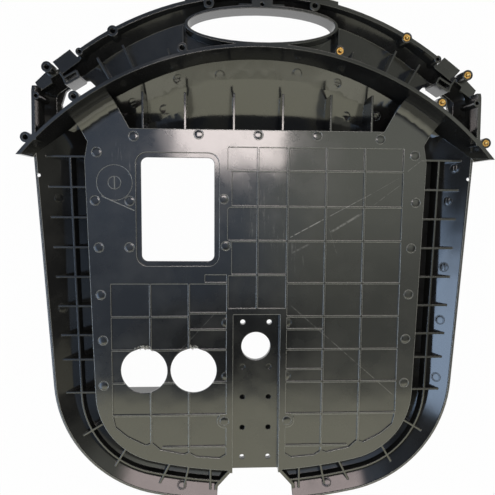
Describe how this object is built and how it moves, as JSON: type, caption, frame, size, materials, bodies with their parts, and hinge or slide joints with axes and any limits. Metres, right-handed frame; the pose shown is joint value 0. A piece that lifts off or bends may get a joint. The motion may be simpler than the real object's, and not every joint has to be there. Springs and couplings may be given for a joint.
{
  "type": "electric unicycle inner shell half",
  "caption": "Moulded inner shell half of an electric unicycle: ribbed wheel-side plate, trough, wheel arch and handle shoulder with brass screw inserts.",
  "frame": {"origin": "centre of the axle bore on the bracket seat", "axes": "+X across the wheel's travel to the insert side, +Y up to the handle, +Z along the axle towards the wheel"},
  "size_m": [0.3246, 0.3672, 0.055],
  "materials": {
    "shell_plastic": "glossy moulded black",
    "insert_brass": "turned brass"
  },
  "bodies": {
    "root": {"inner_shell": "shell_plastic", "insert_handle": "insert_brass", "insert_arch": "insert_brass", "insert_crown": "insert_brass", "insert_shoulder": "insert_brass", "insert_tip": "insert_brass"}
  },
  "joints": []
}
